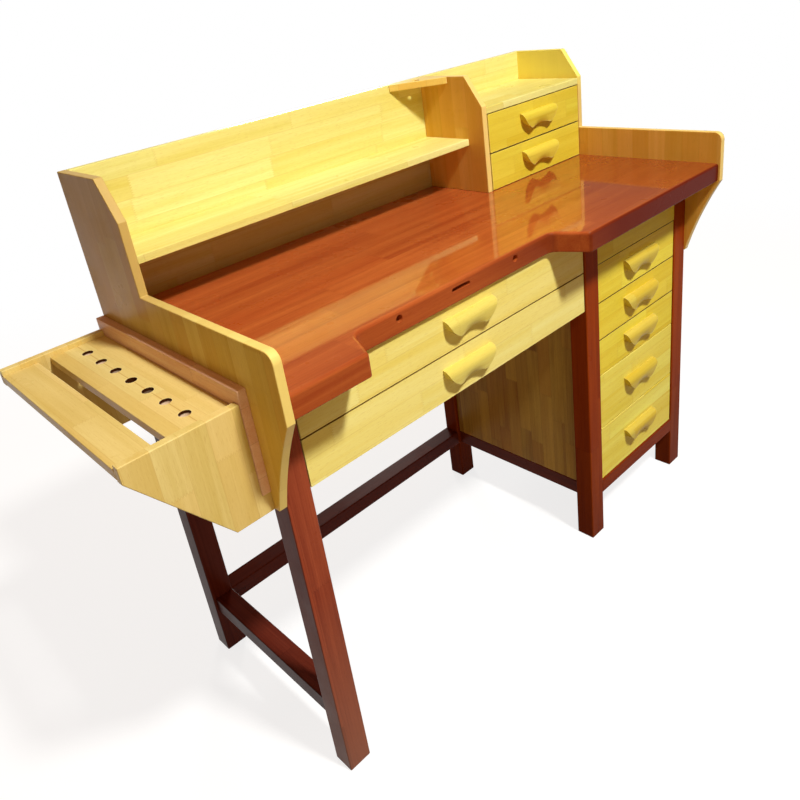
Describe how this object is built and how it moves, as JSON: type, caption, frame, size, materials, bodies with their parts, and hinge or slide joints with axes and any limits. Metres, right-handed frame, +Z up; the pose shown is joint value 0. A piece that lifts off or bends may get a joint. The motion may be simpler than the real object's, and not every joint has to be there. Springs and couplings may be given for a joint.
{
  "type": "jewelers bench",
  "caption": "Jewelers workbench: recessed worktop with raised sides and back, shelf, small cabinet, wide drawers, a pedestal of drawers and a side tool rack; every drawer slides.",
  "frame": {"origin": "middle of the whole object's footprint (tool rack included), on the floor", "axes": "+X along the bench to the right as seen by the seated worker, +Y to the rear, +Z up"},
  "size_m": [1.448, 0.57, 1.097],
  "materials": {
    "yellow_wood": "glossy honey-yellow lacquer over finger-jointed staves",
    "red_wood": "glossy red-brown lacquer",
    "plain_wood": "satin pale wood inside the drawers"
  },
  "bodies": {
    "bench": {"worktop": "red_wood", "left_side_panel": "yellow_wood", "right_side_panel": "yellow_wood", "back_panel": "yellow_wood", "shelf": "yellow_wood", "cabinet_divider": "yellow_wood", "corner_plate": "yellow_wood", "cabinet_tray_floor": "yellow_wood", "cabinet_drawer_runners": "plain_wood", "pedestal_fascia": "yellow_wood", "front_left_leg": "red_wood", "rear_left_leg": "red_wood", "pedestal_front_left_post": "red_wood", "pedestal_rear_left_post": "red_wood", "pedestal_front_right_post": "red_wood", "pedestal_rear_right_post": "red_wood", "pedestal_left_panel": "yellow_wood", "pedestal_right_panel": "yellow_wood", "pedestal_back_panel": "yellow_wood", "pedestal_front_rail": "red_wood", "pedestal_rear_rail": "red_wood", "pedestal_left_rail": "red_wood", "pedestal_right_rail": "red_wood", "back_stretcher": "red_wood", "left_foot_rail": "red_wood", "wide_drawer_runners": "plain_wood", "pedestal_drawer_runners": "plain_wood", "rack_back_board": "red_wood", "rack_front_plate": "yellow_wood", "rack_rear_plate": "yellow_wood", "rack_holes_board": "yellow_wood", "rack_outer_board": "yellow_wood"},
    "wide_drawer_upper": {"wide_drawer_upper_front": "yellow_wood", "wide_drawer_upper_box": "plain_wood", "wide_drawer_upper_pull": "yellow_wood"},
    "wide_drawer_lower": {"wide_drawer_lower_front": "yellow_wood", "wide_drawer_lower_box": "plain_wood", "wide_drawer_lower_pull": "yellow_wood"},
    "pedestal_drawer_1": {"pedestal_drawer_1_front": "yellow_wood", "pedestal_drawer_1_box": "plain_wood", "pedestal_drawer_1_pull": "yellow_wood"},
    "pedestal_drawer_2": {"pedestal_drawer_2_front": "yellow_wood", "pedestal_drawer_2_box": "plain_wood", "pedestal_drawer_2_pull": "yellow_wood"},
    "pedestal_drawer_3": {"pedestal_drawer_3_front": "yellow_wood", "pedestal_drawer_3_box": "plain_wood", "pedestal_drawer_3_pull": "yellow_wood"},
    "pedestal_drawer_4": {"pedestal_drawer_4_front": "yellow_wood", "pedestal_drawer_4_box": "plain_wood", "pedestal_drawer_4_pull": "yellow_wood"},
    "pedestal_drawer_5": {"pedestal_drawer_5_front": "yellow_wood", "pedestal_drawer_5_box": "plain_wood", "pedestal_drawer_5_pull": "yellow_wood"},
    "cabinet_drawer_upper": {"cabinet_drawer_upper_front": "yellow_wood", "cabinet_drawer_upper_box": "plain_wood", "cabinet_drawer_upper_pull": "yellow_wood"},
    "cabinet_drawer_lower": {"cabinet_drawer_lower_front": "yellow_wood", "cabinet_drawer_lower_box": "plain_wood", "cabinet_drawer_lower_pull": "yellow_wood"}
  },
  "joints": [
    {"name": "wide_drawer_upper_slide", "type": "slide", "parent": "bench", "child": "wide_drawer_upper", "axis": [0, -1, 0], "range_m": [0, 0.32]},
    {"name": "wide_drawer_lower_slide", "type": "slide", "parent": "bench", "child": "wide_drawer_lower", "axis": [0, -1, 0], "range_m": [0, 0.32]},
    {"name": "pedestal_drawer_1_slide", "type": "slide", "parent": "bench", "child": "pedestal_drawer_1", "axis": [0, -1, 0], "range_m": [0, 0.32]},
    {"name": "pedestal_drawer_2_slide", "type": "slide", "parent": "bench", "child": "pedestal_drawer_2", "axis": [0, -1, 0], "range_m": [0, 0.32]},
    {"name": "pedestal_drawer_3_slide", "type": "slide", "parent": "bench", "child": "pedestal_drawer_3", "axis": [0, -1, 0], "range_m": [0, 0.32]},
    {"name": "pedestal_drawer_4_slide", "type": "slide", "parent": "bench", "child": "pedestal_drawer_4", "axis": [0, -1, 0], "range_m": [0, 0.32]},
    {"name": "pedestal_drawer_5_slide", "type": "slide", "parent": "bench", "child": "pedestal_drawer_5", "axis": [0, -1, 0], "range_m": [0, 0.32]},
    {"name": "cabinet_drawer_upper_slide", "type": "slide", "parent": "bench", "child": "cabinet_drawer_upper", "axis": [0, -1, 0], "range_m": [0, 0.12]},
    {"name": "cabinet_drawer_lower_slide", "type": "slide", "parent": "bench", "child": "cabinet_drawer_lower", "axis": [0, -1, 0], "range_m": [0, 0.12]}
  ]
}
